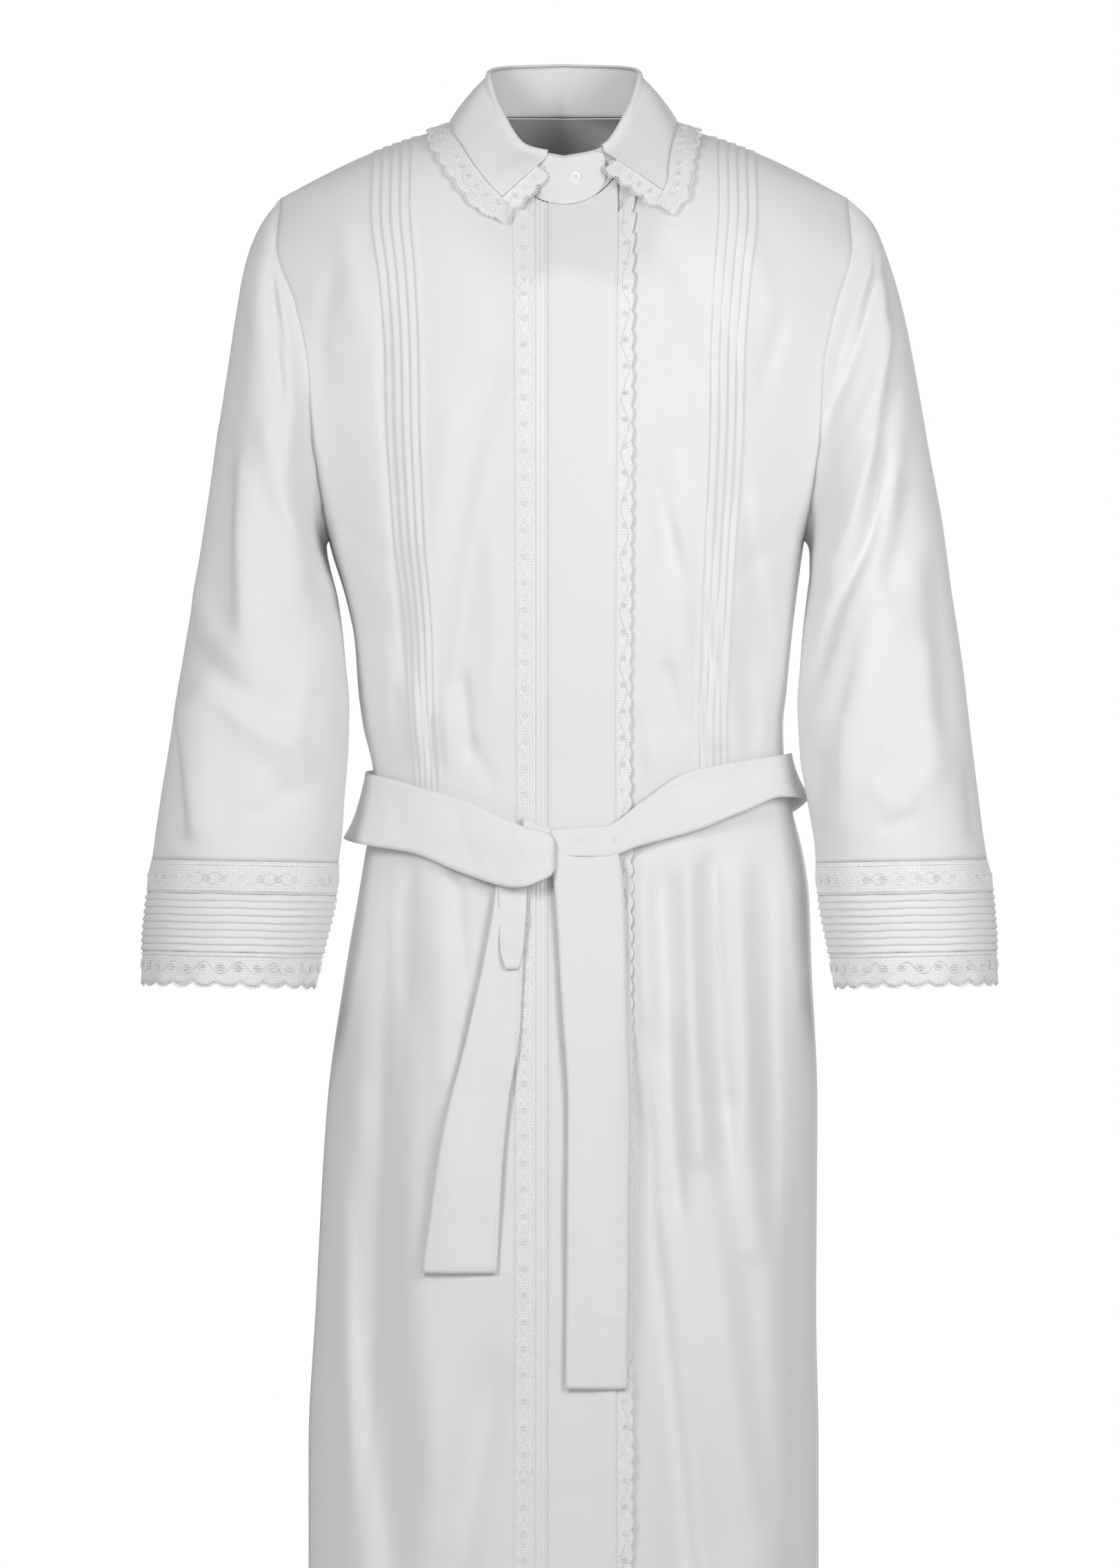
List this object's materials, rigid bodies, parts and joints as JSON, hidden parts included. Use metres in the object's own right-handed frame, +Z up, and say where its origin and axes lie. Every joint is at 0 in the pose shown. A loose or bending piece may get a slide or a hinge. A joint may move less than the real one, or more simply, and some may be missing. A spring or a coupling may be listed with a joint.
{
  "type": "kittel",
  "caption": "White cotton kittel in its worn form: lapped front with lace and tucks, fold-over collar, tucked cuffs and a tied belt.",
  "frame": {"origin": "the middle of the neck, level with where the neck meets the shoulder line; the wearer's neck and shoulders hold the robe here", "axes": "+Z up along the wearer, +X towards the wearer's left, -Y to the front"},
  "size_m": [0.7216, 0.2938, 1.3496],
  "materials": {
    "cotton": "plain white cotton, matte, lightly pressed",
    "lace": "white embroidered lace, matte",
    "pearl_button": "white pearly shirt button"
  },
  "bodies": {
    "root": {"back": "cotton", "front_right": "cotton", "front_left": "cotton", "placket": "cotton", "lace_band": "lace", "lace_edge": "lace", "collar_stand": "cotton", "collar_leaf": "cotton", "collar_lace": "lace", "collar_button": "pearl_button", "sleeve_right": "cotton", "cuff_insertion_right": "lace", "cuff_right": "cotton", "cuff_lace_right": "lace", "sleeve_left": "cotton", "cuff_insertion_left": "lace", "cuff_left": "cotton", "cuff_lace_left": "lace", "belt_round": "cotton", "belt_end_long": "cotton", "belt_end_short": "cotton", "belt_loop": "cotton"}
  },
  "joints": []
}
